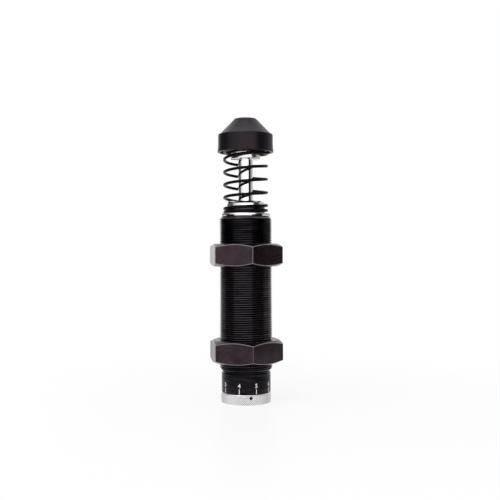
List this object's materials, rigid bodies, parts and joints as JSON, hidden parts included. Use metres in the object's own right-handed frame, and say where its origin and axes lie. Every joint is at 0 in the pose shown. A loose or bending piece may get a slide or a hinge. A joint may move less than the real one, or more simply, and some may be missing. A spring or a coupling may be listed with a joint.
{
  "type": "industrial shock absorber",
  "caption": "Adjustable hydraulic shock absorber: threaded body with two clamping nuts, sprung rod with a bumper cap and a knurled setting knob at the lower end.",
  "frame": {"origin": "centre of the setting knob's lower face, the lowest point of the part", "axes": "+Z along the rod, from the setting knob to the striking face of the cap; -Y towards the side that carries the index hole and the middle marks of the scale"},
  "size_m": [0.05, 0.0522, 0.1934],
  "materials": {
    "body_black": "black nitrided steel, satin",
    "nut_black": "black oxide steel, satin",
    "spring_black": "black oiled spring steel",
    "knob_aluminium": "bright aluminium with a fine diamond knurl",
    "gland_metal": "turned, bright",
    "core_metal": "turned, bright",
    "rod_chrome": "hard chrome, ground and polished",
    "cap_polymer": "moulded polyurethane, satin",
    "seal_rubber": "matt",
    "wiper_polymer": "moulded polyurethane, satin",
    "inner_steel": "turned",
    "bush_bronze": "turned",
    "foam": "closed-cell foam, matt",
    "screw_black": "black oxide"
  },
  "bodies": {
    "housing": {"outer_tube": "body_black", "gland": "gland_metal", "gland_o_ring": "seal_rubber", "rod_wiper": "wiper_polymer", "rod_seal": "seal_rubber", "seal_washer": "inner_steel", "bearing_block": "inner_steel", "rod_bush": "bush_bronze", "accumulator_foam": "foam", "pressure_tube": "inner_steel", "tube_plug": "inner_steel", "lower_thrust_washer": "bush_bronze", "upper_thrust_washer": "bush_bronze", "return_spring": "spring_black"},
    "adjuster": {"adjuster_knob": "knob_aluminium", "knob_set_screw": "screw_black", "adjuster_spindle": "inner_steel", "spindle_o_ring": "seal_rubber", "metering_sleeve": "inner_steel"},
    "rod": {"piston_rod": "rod_chrome", "piston": "inner_steel", "piston_ring": "bush_bronze", "check_ring": "inner_steel", "piston_nut": "inner_steel", "cap_core": "core_metal", "bumper_cap": "cap_polymer"},
    "upper_lock_nut": {"upper_nut": "nut_black"},
    "lower_lock_nut": {"lower_nut": "nut_black"}
  },
  "joints": [
    {"name": "rod_slide", "type": "slide", "parent": "housing", "child": "rod", "axis": [0, 0, 1], "range_m": [-0.025, 0], "stiffness_N_per_m": 1450, "springref_m": 0.01, "deforming": ["return_spring"]},
    {"name": "adjuster_turn", "type": "hinge", "parent": "housing", "child": "adjuster", "pos_m": [0, 0, 0], "axis": [0, 0, 1], "range_deg": [-187.2, 132.8]},
    {"name": "upper_nut_slide", "type": "slide", "parent": "housing", "child": "upper_lock_nut", "axis": [0, 0, 1], "range_m": [-0.022, 0.0165]},
    {"name": "lower_nut_slide", "type": "slide", "parent": "housing", "child": "lower_lock_nut", "axis": [0, 0, 1], "range_m": [-0.0035, 0.022]}
  ]
}
